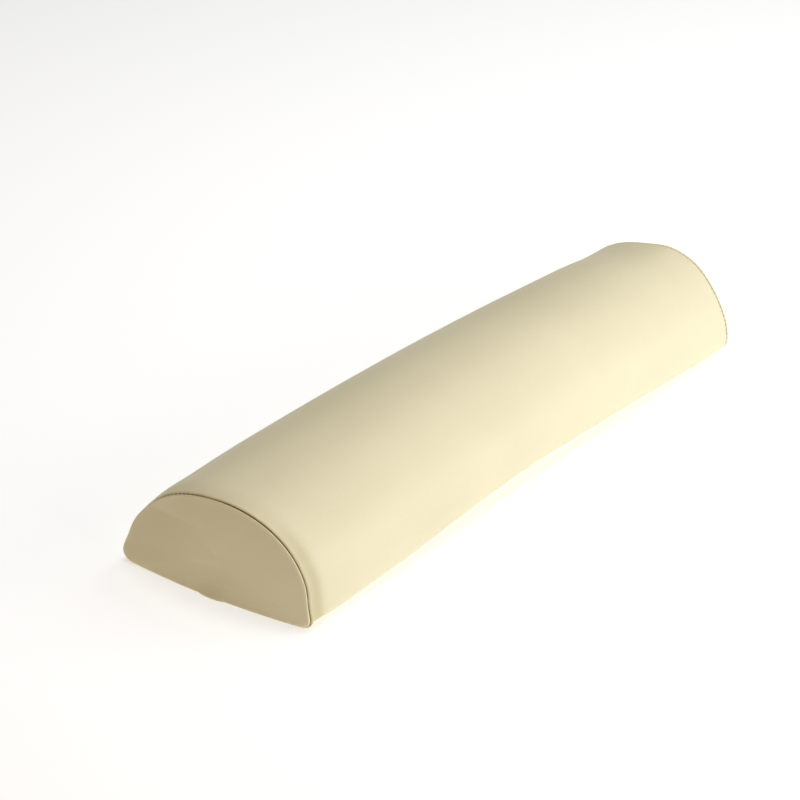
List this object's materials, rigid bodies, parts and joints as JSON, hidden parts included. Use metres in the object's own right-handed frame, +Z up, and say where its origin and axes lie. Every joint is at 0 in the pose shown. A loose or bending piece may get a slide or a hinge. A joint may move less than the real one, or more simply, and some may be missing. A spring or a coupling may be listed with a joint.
{
  "type": "bolster pillow",
  "caption": "Half-round massage bolster: foam core in wadding under a smooth vinyl cover with D-shaped ends, a flat arched underside and a coil zip along it.",
  "frame": {"origin": "on the ground under the middle of the bolster, at the bottom centre of its box", "axes": "+X along the bolster towards its far end, +Y across it, +Z up"},
  "size_m": [0.66, 0.192, 0.1023],
  "materials": {
    "vinyl": "smooth cream vinyl, soft satin sheen, very fine grain",
    "foam": "open-cell polyurethane foam",
    "wadding": "soft white polyester fibre",
    "zip_tape": "woven polyester tape in cream",
    "zip_coil": "nylon coil in cream",
    "zip_metal": "nickel-plated zinc",
    "thread": "twisted polyester sewing thread, olive brown"
  },
  "bodies": {
    "bolster": {"foam_core": "foam", "wadding_wrap": "wadding", "body_panel": "vinyl", "end_panel_near": "vinyl", "end_panel_far": "vinyl", "zip_tape_left": "zip_tape", "zip_tape_right": "zip_tape", "zip_coil_left": "zip_coil", "zip_coil_right": "zip_coil", "seam_thread_near": "thread", "seam_thread_far": "thread", "zip_thread_left": "thread", "zip_thread_right": "thread"},
    "slider": {"zip_slider": "zip_metal"},
    "pull": {"zip_pull": "zip_metal"}
  },
  "joints": [
    {"name": "zip_travel", "type": "hinge", "parent": "bolster", "child": "slider", "pos_m": [0, 0, -3.55766], "axis": [0, 1, 0], "range_deg": [0, 8.4], "deforming": ["zip_coil_left", "zip_coil_right"]},
    {"name": "pull_swing", "type": "hinge", "parent": "slider", "child": "pull", "pos_m": [-0.26212, 0, 0.00387], "axis": [0, 1, 0], "range_deg": [0, 175]}
  ]
}
